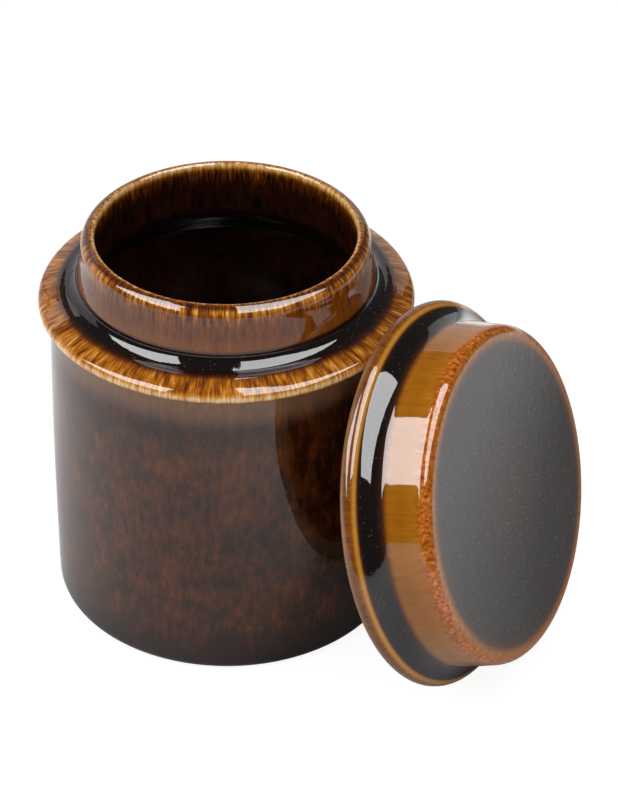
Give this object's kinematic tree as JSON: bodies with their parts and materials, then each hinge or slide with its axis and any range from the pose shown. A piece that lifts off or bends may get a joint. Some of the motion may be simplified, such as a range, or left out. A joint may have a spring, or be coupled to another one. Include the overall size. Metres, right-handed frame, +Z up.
{
  "type": "lidded stoneware canister",
  "caption": "Straight round stoneware canister with a flanged shoulder and short neck, and a hollow flanged cap lid that leans against it.",
  "frame": {"origin": "centre of the jar's foot, level with the surface that it stands on", "axes": "+Z up along the jar's axis, -Y towards the viewer, +X towards the side where the lid leans"},
  "size_m": [0.1838, 0.1646, 0.1378],
  "materials": {
    "jar_glaze": "glossy brown glaze that breaks amber on edges",
    "lid_glaze": "glossy brown glaze that breaks amber on edges"
  },
  "bodies": {
    "jar": {"jar": "jar_glaze"},
    "lid": {"lid": "lid_glaze"}
  },
  "joints": [
    {"name": "lid_lift", "type": "slide", "parent": "jar", "child": "lid", "axis": [0, 0, 1], "range_m": [0, 0.18]}
  ]
}
